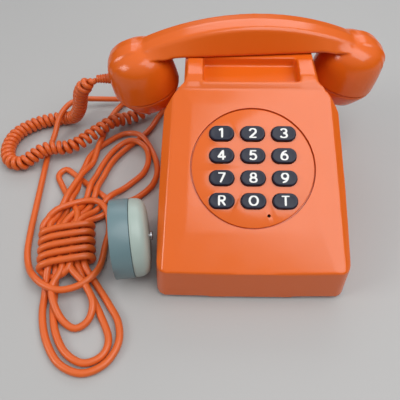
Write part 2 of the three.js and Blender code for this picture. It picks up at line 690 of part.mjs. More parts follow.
const face = new THREE.Group();
face.position.set(0, DIAL_Y, DIAL_Z);
face.rotation.x = FACE_SLOPE * DEG;
body.add(face);
face.add(meshOf("keypad_plate", keypadPlate(), orange()));
KEY_NAMES.forEach((names, row) =>
  names.forEach((name, column) => {
    const key = meshOf("key_" + name, keyCap(), keyBlack());
    key.position.set(...keyPlace(row, column), 0);
    face.add(key);
  }),
);
face.add(meshOf("keypad_contact_mat", block(-34, 34, -33, 33, -9.4, -5 - KEY_TRAVEL - GAP), rubber()));
face.add(meshOf("keypad_circuit_board", block(-38, 38, -36, 36, -11.4, -9.8), board()));

body.add(meshOf("main_circuit_board", block(-52, 52, 6, 76, 10, 11.6), board()));
body.add(meshOf("speech_transformer", block(-44, -20, 14, 34, 12, 30), darkPlastic()));
body.add(meshOf("line_terminal_block", block(-14, 22, 62, 74, 12, 22), darkPlastic()));
const ringerCapacitor = new THREE.CylinderGeometry(8, 8, 34, 20);
body.add(meshOf("ringer_capacitor", solid(ringerCapacitor, at(22, 30, 20.4).multiply(turned([0, 0, 1], 90))), steel()));

body.add(meshOf("ringer_frame", ringerFrame(), steel()));
for (const [side, sign] of [["left", -1], ["right", 1]]) {
  const gongMesh = meshOf("gong_" + side, gong(), brass());
  gongMesh.position.set(sign * GONG_X, GONG_Y, 16);
  const screwMesh = meshOf("gong_screw_" + side, gongScrew(), steel());
  screwMesh.position.set(sign * GONG_X, GONG_Y, 16);
  body.add(gongMesh, screwMesh);

  const plungerMesh = meshOf("plunger_" + side, plunger(), darkPlastic());
  plungerMesh.position.set(sign * PLUNGER_X, HANDSET_Y, SADDLE_Z + 0.2);
  body.add(plungerMesh);
}
body.add(meshOf("ringer_coil", block(-18, 18, -15, -5, 11.3, 24), darkPlastic()));
body.add(meshOf("clapper", clapper(), steel()));
body.add(meshOf("hook_lever", hookLever(), darkPlastic()));
body.add(meshOf("hook_switch_block", hookSwitchBlock(), darkPlastic()));

const handset = new THREE.Group();
handset.position.set(0, HANDSET_Y, HANDSET_Z);
handset.rotation.z = HANDSET_YAW * DEG;
phone.add(handset);
handset.add(meshOf("handset_shell", handsetShell(), orange()));
for (const [name, capsuleName, side, holes] of [
  ["mouthpiece_cap", "transmitter_capsule", -1, 6],
  ["earpiece_cap", "receiver_capsule", 1, 8],
]) {
  const end = new THREE.Group();
  end.position.set(side * END_X, 0, END_SEAM_Z);
  end.rotation.y = side * END_TILT * DEG;
  handset.add(end);
  end.add(meshOf(name, endCap(holes), orange()));
  end.add(meshOf(capsuleName, capsule(9), darkPlastic()));
}

// Grommets where the cords leave the handset and the base
const cordTube = (name, points, diameter, steps, sides) =>
  phone.add(meshOf(name, cord(points, diameter, steps, sides), cordOrange()));
const handsetGrommet = solid(
  new THREE.CylinderGeometry(3.3, 4.6, 14, 16),
  turned([0, 0, 1], 90),
);
const grommetMesh = meshOf("handset_cord_grommet", handsetGrommet, cordOrange());
grommetMesh.position.set(-END_X - 34, 0, CORD_ENTRY_Z);
handset.add(grommetMesh);
for (const [name, place, r] of [["base_curly_grommet", CURLY_EXIT, 4.8], ["base_line_grommet", LINE_EXIT, 3.8]]) {
  const bush = new THREE.CylinderGeometry(r * 0.8, r, 13, 16);
  phone.add(meshOf(name, solid(bush, at(place[0], place[1] - 1, place[2])), cordOrange()));
}
cordTube("coiled_cord", CURLY_POINTS, CURLY_CORD_D, 44, 10);
cordTube("line_cord_start", LINE_START_POINTS, LINE_CORD_D, 14, 8);
cordTube("line_cord_big_loop", BIG_LOOP_POINTS, LINE_CORD_D, 56, 8);
cordTube("line_cord_end", LINE_END_POINTS, LINE_CORD_D, 6, 8);
phone.add(meshOf("line_cord_upper_loops", loops(UPPER_LOOPS), cordOrange()));
phone.add(meshOf("line_cord_lower_loops", loops(LOWER_LOOPS), cordOrange()));
phone.add(meshOf("line_cord_tie", tieTurns(), cordOrange()));

const wallBox = new THREE.Group();
wallBox.rotation.set(0, (90 + BOX_LEAN) * DEG, BOX_TURN * DEG, "ZYX");
const boxAxis = new THREE.Vector3(0, 0, 1).applyEuler(wallBox.rotation);
wallBox.position.set(...BOX_CENTRE).addScaledVector(boxAxis, -(BOX_BASE_T + BOX_COVER_T) / 2);
phone.add(wallBox);
wallBox.add(meshOf("wall_box_base", boxBase(), boxGrey()));
wallBox.add(meshOf("wall_box_cover", boxCover(), coverGrey()));
wallBox.add(meshOf("wall_box_terminal", boxTerminal(), darkPlastic()));
wallBox.add(meshOf("wall_box_screw", boxScrew(), steel()));

export default phone;
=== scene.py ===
"""A push-button desk telephone with its cords and wall box, laid out as an add-on.

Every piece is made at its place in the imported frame: +Z up, the keys towards -Y. The sizes
below are in millimetres and are turned to metres when a mesh is made.
"""
import math

import bmesh
import bpy
import numpy as np
from bpy.props import FloatProperty, FloatVectorProperty, PointerProperty
from mathutils import Matrix, Vector


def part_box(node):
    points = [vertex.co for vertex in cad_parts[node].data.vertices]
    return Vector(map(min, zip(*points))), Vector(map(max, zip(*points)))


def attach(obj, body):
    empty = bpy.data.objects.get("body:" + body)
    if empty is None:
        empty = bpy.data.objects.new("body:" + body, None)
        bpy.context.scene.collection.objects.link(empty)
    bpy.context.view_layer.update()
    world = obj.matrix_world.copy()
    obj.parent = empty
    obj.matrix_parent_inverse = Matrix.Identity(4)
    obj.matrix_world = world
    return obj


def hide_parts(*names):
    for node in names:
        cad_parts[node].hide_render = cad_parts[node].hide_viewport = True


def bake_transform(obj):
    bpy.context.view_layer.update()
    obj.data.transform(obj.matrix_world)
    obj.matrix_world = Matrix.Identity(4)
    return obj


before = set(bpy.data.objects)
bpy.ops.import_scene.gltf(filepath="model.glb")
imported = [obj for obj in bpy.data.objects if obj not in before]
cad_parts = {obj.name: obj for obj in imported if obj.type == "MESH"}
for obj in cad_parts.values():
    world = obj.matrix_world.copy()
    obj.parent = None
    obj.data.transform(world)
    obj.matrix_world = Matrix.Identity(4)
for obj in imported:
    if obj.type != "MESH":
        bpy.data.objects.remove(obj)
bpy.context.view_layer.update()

bl_info = {
    "name": "Desk Telephone",
    "version": (1, 0, 0),
    "blender": (4, 5, 0),
    "location": "View3D > Sidebar > Telephone",
    "description": "Builds the visible pieces of a push-button desk telephone",
    "category": "Add Mesh",
}

MM = 0.001


def moved(x, y, z):
    return Matrix.Translation(Vector((x, y, z)) * MM)


def rotated(degrees, axis):
    return Matrix.Rotation(math.radians(degrees), 4, axis)


# ------------------------------------------------------------------ places that pieces share
# The middle of the sloping face, the middle of the handset, and the wall box on its rim.
FACE = moved(0, -34.5, 69.1) @ rotated(27.5, "X")
HANDSET = moved(0, 70, 98.9) @ rotated(4.2, "Z")
WALL_BOX = moved(-86.3, -67.7, 29.1) @ (rotated(8, "Z") @ rotated(90.3, "Y")) @ moved(0, 0, -13)
END_X, END_SEAM_Z, END_TILT = 83, -35, 12
KEY_ROWS = (("1", "2", "3"), ("4", "5", "6"), ("7", "8", "9"), ("R", "0", "T"))
KEY_PITCH = (21.8, 16.15)
KEY_LENGTH, KEY_WIDTH = 17.3, 10.9
PLATE_RADIUS = 42.95
OPENING_RADIUS = 43.9
LINE_EXIT = (-30, 101, 12)
CURLY_EXIT = (-52, 101, 14)
LINE_CORD = 5.2
LEAST_GAP = 0.05  # under a cord that lies on the table


def end_place(side):
    """The frame of one end of the handset: its cap's seam in the XY plane, dome up."""
    return HANDSET @ moved(side * END_X, 0, END_SEAM_Z) @ rotated(side * END_TILT, "Y")


def key_place(row, column):
    """The frame of one key, on the sloping face."""
    return FACE @ moved((column - 1) * KEY_PITCH[0], (1.5 - row) * KEY_PITCH[1], 0)


# ------------------------------------------------------------------ modelling by hand, in code
def select_only(obj):
    bpy.ops.object.select_all(action="DESELECT")
    obj.select_set(True)
    bpy.context.view_layer.objects.active = obj


class Editing:
    """Edit mode on one object, with its mesh as a bmesh."""

    def __init__(self, obj):
        self.obj = obj

    def __enter__(self):
        select_only(self.obj)
        bpy.ops.object.mode_set(mode="EDIT")
        return bmesh.from_edit_mesh(self.obj.data)

    def __exit__(self, *_):
        bmesh.update_edit_mesh(self.obj.data)
        bpy.ops.object.mode_set(mode="OBJECT")


def new_mesh(name, vertices, edges=(), faces=()):
    mesh = bpy.data.meshes.new(name)
    mesh.from_pydata([tuple(v) for v in vertices], list(edges), list(faces))
    mesh.update()
    obj = bpy.data.objects.new(name, mesh)
    bpy.context.scene.collection.objects.link(obj)
    return obj


def apply_modifiers(obj):
    select_only(obj)
    for modifier in list(obj.modifiers):
        bpy.ops.object.modifier_apply(modifier=modifier.name)


def put(obj, matrix):
    """Puts a piece in its place, in its mesh."""
    obj.data.transform(matrix)
    obj.matrix_world = Matrix.Identity(4)
    obj.data.update()
    return obj


def joined(first, *others):
    bpy.ops.object.select_all(action="DESELECT")
    for obj in (first, *others):
        obj.select_set(True)
    bpy.context.view_layer.objects.active = first
    bpy.ops.object.join()
    return first


def boolean(obj, tool, operation="DIFFERENCE", solver="MANIFOLD"):
    modifier = obj.modifiers.new("Boolean", "BOOLEAN")
    modifier.object = tool
    modifier.operation = operation
    modifier.solver = solver
    apply_modifiers(obj)
    bpy.data.objects.remove(tool)
    return obj


MOST_TRIANGLES = 170_000  # in one skin, before its openings are cut


def softened(obj, voxel, rounds):
    """Makes a piece one moulded skin, with every edge rounded a little."""
    remesh = obj.modifiers.new("Remesh", "REMESH")
    remesh.mode = "VOXEL"
    remesh.voxel_size = voxel * MM
    smooth = obj.modifiers.new("Smooth", "SMOOTH")
    smooth.factor = 0.5
    smooth.iterations = rounds
    apply_modifiers(obj)
    thin = obj.modifiers.new("Thin", "DECIMATE")
    thin.ratio = min(1, MOST_TRIANGLES / (2 * len(obj.data.polygons)))
    apply_modifiers(obj)
    return obj


def copy_of(node, name):
    """A copy of a CAD node with its loose triangles merged."""
    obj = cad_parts[node].copy()
    obj.data = obj.data.copy()
    obj.name = name
    obj.parent = None
    for key in list(obj.keys()):
        del obj[key]
    obj.matrix_world = Matrix.Identity(4)
    bpy.context.scene.collection.objects.link(obj)
    with Editing(obj):
        bpy.ops.mesh.select_all(action="SELECT")
        bpy.ops.mesh.remove_doubles(threshold=2e-6)
    return obj


def turned(name, profile, steps=96):
    """A piece turned about Z from its profile of (radius, height)."""
    points = [(r * MM, 0, z * MM) for r, z in profile]
    obj = new_mesh(name, points, [(i, i + 1) for i in range(len(points) - 1)])
    with Editing(obj):
        bpy.ops.mesh.select_all(action="SELECT")
        bpy.ops.mesh.spin(steps=steps, angle=2 * math.pi, center=(0, 0, 0), axis=(0, 0, 1))
        bpy.ops.mesh.select_all(action="SELECT")
        bpy.ops.mesh.remove_doubles(threshold=1e-6)
        bpy.ops.mesh.normals_make_consistent(inside=False)
    return obj


def bar(name, radius, z0, z1, at=(0, 0), sides=48):
    """A round bar along Z."""
    middle = (at[0] * MM, at[1] * MM, (z0 + z1) / 2 * MM)
    bpy.ops.mesh.primitive_cylinder_add(
        vertices=sides, radius=radius * MM, depth=(z1 - z0) * MM, location=middle
    )
    obj = bpy.context.object
    obj.name = name
    return put(obj, obj.matrix_world.copy())


def block(name, low, high):
    centre = [(a + b) / 2 * MM for a, b in zip(low, high)]
    bpy.ops.mesh.primitive_cube_add(size=1, location=centre)
    obj = bpy.context.object
    obj.name = name
    size = Matrix.Diagonal([(b - a) * MM for a, b in zip(low, high)] + [1])
    return put(obj, obj.matrix_world @ size)


def bevelled(obj, width, segments=3, angle=35):
    bevel = obj.modifiers.new("Bevel", "BEVEL")
    bevel.width = width * MM
    bevel.segments = segments
    bevel.limit_method = "ANGLE"
    bevel.angle_limit = math.radians(angle)
    apply_modifiers(obj)
    return obj


def rounded_bar(name, length, width, z0, z1, sides=48):
    """A bar with round ends, its long side along X: a cylinder whose halves are moved apart."""
    obj = bar(name, width / 2, z0, z1, sides=sides)
    apart = (length - width) / 2 * MM
    with Editing(obj) as mesh:
        for vertex in mesh.verts:
            if abs(vertex.co.x) > 1e-7:
                vertex.co.x += math.copysign(apart, vertex.co.x)
    return obj


def way_along(line):
    """How far along a line each of its points is."""
    return np.concatenate([[0], np.cumsum(np.linalg.norm(np.diff(line, axis=0), axis=1))])


def resampled(line, way, at):
    """The points of a line at other distances along it."""
    return np.stack([np.interp(at, way, line[:, k]) for k in range(line.shape[1])], 1)


SPAN_POINTS = 24


def through(points, step):
    """Points at even steps, in millimetres, along a smooth curve through the given ones.

    The second result is the number of the span that each point lies in, with its share of
    the span as the fraction.
    """
    points = np.array(points, float)
    ends = 2 * points[[0, -1]] - points[[1, -2]]
    points = np.vstack([ends[0], points, ends[1]])
    line, span = [], []
    for i in range(1, len(points) - 2):
        p = points[i - 1 : i + 3]
        knot = np.concatenate([[0], np.cumsum(np.sqrt(np.linalg.norm(np.diff(p, axis=0), axis=1)))])
        t = np.linspace(knot[1], knot[2], SPAN_POINTS, endpoint=False)[:, None]
        level = list(p)
        for depth in (1, 2, 3):
            merged = []
            for k in range(4 - depth):
                low, high = (knot[1], knot[2]) if depth == 3 else (knot[k], knot[k + depth])
                merged.append((high - t) / (high - low) * level[k] + (t - low) / (high - low) * level[k + 1])
            level = merged
        line.append(level[0])
        span.append(i - 1 + (t[:, 0] - knot[1]) / (knot[2] - knot[1]))
    line = np.vstack([*line, points[-2]])
    span = np.concatenate([*span, [len(points) - 3]])
    way = way_along(line)
    even = np.linspace(0, way[-1], max(2, round(way[-1] / step)) + 1)
    return resampled(line, way, even), np.interp(even, way, span)


def length_of(line):
    return float(np.linalg.norm(np.diff(line, axis=0), axis=1).sum())


def frames_along(line):
    """Tangent, side and up at each point of a line, carried along it without a twist."""
    tangents = np.gradient(line, axis=0)
    tangents /= np.linalg.norm(tangents, axis=1)[:, None]
    side = np.cross(tangents[0], (0, 0, 1.0) if abs(tangents[0][2]) < 0.9 else (1.0, 0, 0))
    sides = []
    for tangent in tangents:
        side = side - tangent * side.dot(tangent)
        side = side / np.linalg.norm(side)
        sides.append(side)
    sides = np.array(sides)
    return tangents, sides, np.cross(tangents, sides)


def skinned(name, rings):
    """A closed piece over a row of rings, in millimetres, that have the same number of points."""
    count, sides = len(rings), len(rings[0])
    faces = [
        (r * sides + i, r * sides + (i + 1) % sides, (r + 1) * sides + (i + 1) % sides, (r + 1) * sides + i)
        for r in range(count - 1)
        for i in range(sides)
    ]
    faces.append(tuple(reversed(range(sides))))
    faces.append(tuple((count - 1) * sides + i for i in range(sides)))
    return new_mesh(name, np.array(rings).reshape(-1, 3) * MM, (), faces)


def tube(name, line, radius, sides=12):
    """A round cord along a line, in millimetres, with rounded ends."""
    tangents, side, up = frames_along(line)
    angles = np.linspace(0, 2 * math.pi, sides, endpoint=False)
    outward = np.cos(angles)[None, :, None] * side[:, None] + np.sin(angles)[None, :, None] * up[:, None]
    rings = line[:, None] + radius * outward
    first = line[0] - tangents[0] * radius * 0.5 + radius * 0.75 * outward[0]
    last = line[-1] + tangents[-1] * radius * 0.5 + radius * 0.75 * outward[-1]
    return skinned(name, np.concatenate([first[None], rings, last[None]]))


def finish(obj, material, body=None, nodes=(), angle=40):
    """Gives a piece its material and its smooth shading, puts it under its body, and hides the CAD nodes that
    it stands for.
    """
    obj.data.materials.clear()
    obj.data.materials.append(material)
    select_only(obj)
    bpy.ops.object.shade_smooth_by_angle(angle=math.radians(angle))
    if body:
        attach(obj, body)
    if nodes:
        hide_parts(*nodes)
    return obj


# ------------------------------------------------------------------ materials
def node(tree, kind, **values):
    made = tree.nodes.new(kind)
    for key, value in values.items():
        if key in made.inputs:
            made.inputs[key].default_value = value
        else:
            setattr(made, key, value)
    return made


def moulded(name, colour, roughness, mottle=0.06, mottle_scale=35, grain=0.02, grain_scale=1800,
            scuff=0.08, specular=0.5, coat=0.0, metallic=0.0, stretch=(1, 1, 1)):
    """A material with a faint cloud in its colour, a fine grain, and rubbed patches in its gloss."""
    name = "fine_" + name
    if name in bpy.data.materials:
        return bpy.data.materials[name]
    material = bpy.data.materials.new(name)
    material.use_nodes = True
    material.diffuse_color = (*colour, 1)
    tree = material.node_tree
    shader = tree.nodes["Principled BSDF"]
    shader.inputs["Specular IOR Level"].default_value = specular
    shader.inputs["Metallic"].default_value = metallic
    shader.inputs["Coat Weight"].default_value = coat
    shader.inputs["Coat Roughness"].default_value = 0.12
    place = node(tree, "ShaderNodeTexCoord")
    mapping = node(tree, "ShaderNodeMapping")
    mapping.inputs["Scale"].default_value = stretch
    tree.links.new(place.outputs["Object"], mapping.inputs["Vector"])

    def noise(scale, detail):
        made = node(tree, "ShaderNodeTexNoise", Scale=scale, Detail=detail)
        tree.links.new(mapping.outputs["Vector"], made.inputs["Vector"])
        return made.outputs["Fac"]

    mix = node(tree, "ShaderNodeMix", data_type="RGBA")
    mix.inputs[6].default_value = (*[c * (1 - mottle) for c in colour], 1)
    mix.inputs[7].default_value = (*[min(1, c * (1 + mottle)) for c in colour], 1)
    tree.links.new(noise(mottle_scale, 4), mix.inputs[0])
    tree.links.new(mix.outputs[2], shader.inputs["Base Color"])

    rubbed = node(tree, "ShaderNodeMapRange")
    rubbed.inputs["From Min"].default_value = 0.35
    rubbed.inputs["From Max"].default_value = 0.75
    rubbed.inputs["To Min"].default_value = roughness
    rubbed.inputs["To Max"].default_value = roughness + scuff
    tree.links.new(noise(mottle_scale * 2.3, 8), rubbed.inputs["Value"])
    tree.links.new(rubbed.outputs["Result"], shader.inputs["Roughness"])

    bump = node(tree, "ShaderNodeBump", Strength=grain, Distance=0.0004)
    tree.links.new(noise(grain_scale, 2), bump.inputs["Height"])
    tree.links.new(bump.outputs["Normal"], shader.inputs["Normal"])
    return material


def colours():
    return bpy.context.scene.telephone_colours


def orange_plastic():
    return moulded("orange_plastic", tuple(colours().case), 0.17, mottle=0.03, grain=0.01, specular=0.5)


def cord_jacket():
    colour = tuple(colours().cord)
    return moulded("cord_jacket", colour, 0.32, mottle=0.07, mottle_scale=120, grain=0.03, scuff=0.1)


def key_plastic():
    colour = tuple(colours().key)
    return moulded("key_plastic", colour, 0.32, mottle=0.1, grain=0.02, grain_scale=2500, specular=0.3)


def digit_paint():
    return moulded("digit_paint", tuple(colours().digit), 0.45, mottle=0.03, grain=0.0)


def box_grey():
    return moulded("box_grey", tuple(colours().box), 0.32, mottle=0.06, grain=0.03)


def box_cover_grey():
    return moulded("box_cover_grey", tuple(colours().box_cover), 0.34, mottle=0.05, grain=0.03)


def clip_plastic():
    return moulded("clip_plastic", (0.62, 0.66, 0.64), 0.25, mottle=0.04, grain=0.0, coat=0.3)


def dark_plastic():
    return moulded("dark_plastic", (0.02, 0.021, 0.023), 0.5, mottle=0.15, grain=0.05)


def foot_rubber():
    return moulded("foot_rubber", (0.025, 0.025, 0.026), 0.8, mottle=0.2, grain=0.15, grain_scale=900)


def plated_steel():
    colour = (0.55, 0.56, 0.58)
    return moulded("plated_steel", colour, 0.28, mottle=0.08, metallic=1.0, scuff=0.2, stretch=(1, 6, 1))


def gong_brass():
    return moulded("gong_brass", (0.62, 0.42, 0.14), 0.25, mottle=0.1, metallic=1.0, scuff=0.15)


def board_laminate():
    return moulded("board_laminate", (0.22, 0.1, 0.025), 0.45, mottle=0.2, stretch=(1, 5, 1))


# ------------------------------------------------------------------ settings
class TelephoneSizes(bpy.types.PropertyGroup):
    """The cords' sizes"""

    line_cord: FloatProperty(
        name="Line cord", description="Diameter of the straight cord",
        default=LINE_CORD * MM, unit="LENGTH", precision=4,
    )
    coil_strand: FloatProperty(
        name="Coil strand", description="Diameter of the coiled cord's jacket",
        default=4.6 * MM, unit="LENGTH", precision=4,
    )
    coil_outside: FloatProperty(
        name="Coil outside", description="Outside diameter of the coil",
        default=13.2 * MM, unit="LENGTH", precision=4,
    )
    coil_pitch: FloatProperty(
        name="Coil pitch", description="Distance from one turn to the next where they lie close",
        default=5.3 * MM, unit="LENGTH", precision=4,
    )


class TelephoneColours(bpy.types.PropertyGroup):
    """The colours of the plastics"""

    case: FloatVectorProperty(
        name="Case", description="Orange of the case and the handset",
        default=(0.74, 0.125, 0.008), subtype="COLOR", min=0, max=1,
    )
    cord: FloatVectorProperty(
        name="Cords", description="Orange of the cords",
        default=(0.68, 0.12, 0.018), subtype="COLOR", min=0, max=1,
    )
    key: FloatVectorProperty(
        name="Keys", description="Blue-black of the key caps",
        default=(0.006, 0.009, 0.026), subtype="COLOR", min=0, max=1,
    )
    digit: FloatVectorProperty(
        name="Digits", description="White of the digits",
        default=(0.86, 0.86, 0.84), subtype="COLOR", min=0, max=1,
    )
    box: FloatVectorProperty(
        name="Wall box", description="Blue-grey of the wall box",
        default=(0.14, 0.22, 0.24), subtype="COLOR", min=0, max=1,
    )
    box_cover: FloatVectorProperty(
        name="Box cover", description="Pale green-grey of the cover",
        default=(0.36, 0.44, 0.40), subtype="COLOR", min=0, max=1,
    )


# ------------------------------------------------------------------ stage
CAMERA_PLACE = (-34.262, -241.633, 294.466)
CAMERA_HEADING, CAMERA_DOWN, CAMERA_ROLL = 0.754, 51.76, -0.153
CAMERA_LENS, CAMERA_SENSOR = 39.33, 36
# The strength of the light from all round, from the horizon up to the top.
SKY = {"From Min": 0.15, "From Max": 0.95, "To Min": 0.05, "To Max": 0.7}
# Each light's name, place, aim, size in metres, power and colour.
LIGHTS = (
    ("overhead", (0.62, -0.25, 1.25), (0.3, -0.1, 0), (1.1, 1.3), 14, (1, 0.99, 0.98)),
    ("left", (-1.3, -0.4, 1.0), (0, 0, 0.05), (0.6, 0.6), 7, (1, 0.97, 0.93)),
    ("rear", (0.15, 1.5, 1.1), (0, 0, 0.05), (1.4, 0.7), 6, (0.95, 0.98, 1)),
)


class TELEPHONE_OT_stage(bpy.types.Operator):
    """Camera, plain floor and soft studio light"""

    bl_idname = "telephone.stage"
    bl_label = "Camera and stage"

    def execute(self, context):
        scene = context.scene
        camera = bpy.data.objects.new("camera", bpy.data.cameras.new("camera"))
        scene.collection.objects.link(camera)
        camera.data.sensor_width = CAMERA_SENSOR
        camera.data.lens = CAMERA_LENS
        camera.data.clip_start = 0.01
        turn = rotated(CAMERA_HEADING, "Z") @ rotated(90 - CAMERA_DOWN, "X") @ rotated(CAMERA_ROLL, "Z")
        camera.matrix_world = moved(*CAMERA_PLACE) @ turn
        scene.camera = camera

        bpy.ops.mesh.primitive_plane_add(size=6, location=(0, 0, 0))
        floor = context.object
        floor.name = "floor"
        colour = (0.42, 0.415, 0.41)
        finish(floor, moulded("floor", colour, 0.6, mottle=0.02, mottle_scale=3, grain=0.0, scuff=0.05))

        world = scene.world or bpy.data.worlds.new("world")
        scene.world = world
        world.use_nodes = True
        tree = world.node_tree
        background = tree.nodes["Background"]
        background.inputs["Color"].default_value = (0.94, 0.97, 1.0, 1)
        place = node(tree, "ShaderNodeTexCoord")
        height = node(tree, "ShaderNodeSeparateXYZ")
        tree.links.new(place.outputs["Generated"], height.inputs[0])
        ramp = node(tree, "ShaderNodeMapRange")
        for name, value in SKY.items():
            ramp.inputs[name].default_value = value
        tree.links.new(height.outputs["Z"], ramp.inputs["Value"])
        tree.links.new(ramp.outputs["Result"], background.inputs["Strength"])

        for name, place, aim, size, power, colour in LIGHTS:
            data = bpy.data.lights.new(name, "AREA")
            data.shape = "RECTANGLE"
            data.size, data.size_y = size
            data.energy = power
            data.color = colour
            light = bpy.data.objects.new(name, data)
            light.location = place
            light.rotation_euler = (Vector(aim) - Vector(place)).to_track_quat("-Z", "Y").to_euler()
            scene.collection.objects.link(light)
        scene.view_settings.view_transform = "Standard"
        return {"FINISHED"}


# ------------------------------------------------------------------ coiled cord
# The middle of the coil, from the handset to the case.
CURLY_POINTS = [
    (-125, 60.5, 70.5), (-134, 61, 65.5), (-141.5, 65, 54), (-146.5, 71, 38), (-153, 77, 23),
    (-161, 83, 11.5), (-171, 86, 7.2), (-181, 84.5, 6.8), (-192.5, 80.5, 6.8), (-203, 73.5, 6.8),
    (-211.5, 64, 6.8), (-215, 51, 6.8), (-213.5, 37.5, 6.8), (-207, 27, 7), (-197, 24.5, 8),
    (-188, 30, 10.6), (-180, 36.5, 12.3), (-171, 40, 12.3), (-160, 41, 11.5), (-150, 46, 11.8),
    (-141, 55, 12.5), (-131, 66, 12.5), (-121, 77, 11.8), (-111, 85, 7.6), (-99, 92, 7.6),
    (-87, 100, 11.6), (-76, 108, 12.9), (-66, 113.5, 13.4), (-57, 115.5, 13.8), (-52.6, 113, 14),
    (-52, 107.8, 14),
]
# After this share of the coil, over a tenth of it, the turns are drawn this much further apart.
STRETCHED_FROM, STRETCHED_OVER, STRETCHED_BY = 0.58, 0.1, 0.3
TURN_POINTS = 16
STRAIGHT_LEAD = 12  # from each end of the cord to its first full turn


class TELEPHONE_OT_coiled_cord(bpy.types.Operator):
    """The coiled cord from the handset to the case"""

    bl_idname = "telephone.coiled_cord"
    bl_label = "Coiled cord"

    def execute(self, context):
        sizes = context.scene.telephone_sizes
        strand, outside, pitch = (v / MM for v in (sizes.coil_strand, sizes.coil_outside, sizes.coil_pitch))
        even = through(CURLY_POINTS, 0.25)[0]
        axis_length = length_of(even)
        places = [0.0]
        while places[-1] < axis_length:
            drawn = np.clip((places[-1] / axis_length - STRETCHED_FROM) / STRETCHED_OVER, 0, 1)
            places.append(places[-1] + pitch * (1 + STRETCHED_BY * drawn) / TURN_POINTS)
        way = np.array(places) * axis_length / places[-1]
        axis = resampled(even, np.linspace(0, axis_length, len(even)), way)
        _, side, up = frames_along(axis)
        opening = np.clip(np.minimum(way, axis_length - way) / STRAIGHT_LEAD, 0, 1)
        radius = (outside - strand) / 2 * opening * opening * (3 - 2 * opening)
        turn = 2 * math.pi * np.arange(len(axis)) / TURN_POINTS
        line = axis + radius[:, None] * (np.cos(turn)[:, None] * side + np.sin(turn)[:, None] * up)
        line[:, 2] = np.maximum(line[:, 2], strand / 2 + LEAST_GAP)
        cord = tube("coiled_cord_jacket", line, strand / 2, sides=10)
        finish(cord, cord_jacket(), nodes=["coiled_cord"], angle=60)
        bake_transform(cord)
        return {"FINISHED"}


# ------------------------------------------------------------------ line cord
# The middle, size and slant of the tie, and its turns and their spacing.
TIE = {"x": -139, "y": -62, "width": 44, "height": 18.4, "turn": 10, "pitch": 7.4, "turns": 5}
WRAP_POINTS = 14  # in one turn
WRAP_SQUARENESS = 0.62  # 1 is an ellipse, less is squarer
PASS_ENDS = 19  # from the tie's middle to where the strands come out of it


def tie_point(u, v, z):
    """A point of the tie: u across the bundle, v along it, towards the upper loops."""
    c, s = math.cos(math.radians(TIE["turn"])), math.sin(math.radians(TIE["turn"]))
    return (TIE["x"] + u * c - v * s, TIE["y"] + u * s + v * c, z)


def tie_pass(top, bottom, z, upward):
    """A strand's way through the tie, from its place at one end to its place at the other."""
    steps = [1, 0.35, -0.35, -1]
    points = [tie_point((top + bottom) / 2 + (top - bottom) / 2 * k, PASS_ENDS * k, z) for k in steps]
    return points[::-1] if upward else points


def wraps():
    """The turns round the bundle, from its lower end to its upper end."""
    half_width = (TIE["width"] - LINE_CORD) / 2
    half_height = (TIE["height"] - LINE_CORD) / 2
    lowest = 2.8
    points = []
    for i in range(TIE["turns"] * WRAP_POINTS + 1):
        angle = math.pi + 2 * math.pi * i / WRAP_POINTS
        u, z = (math.copysign(abs(w) ** WRAP_SQUARENESS, w) for w in (math.cos(angle), math.sin(angle)))
        along = TIE["pitch"] * (TIE["turns"] / 2 - i / WRAP_POINTS)
        points.append(tie_point(half_width * u, along, lowest + half_height * (1 + z)))
    return points


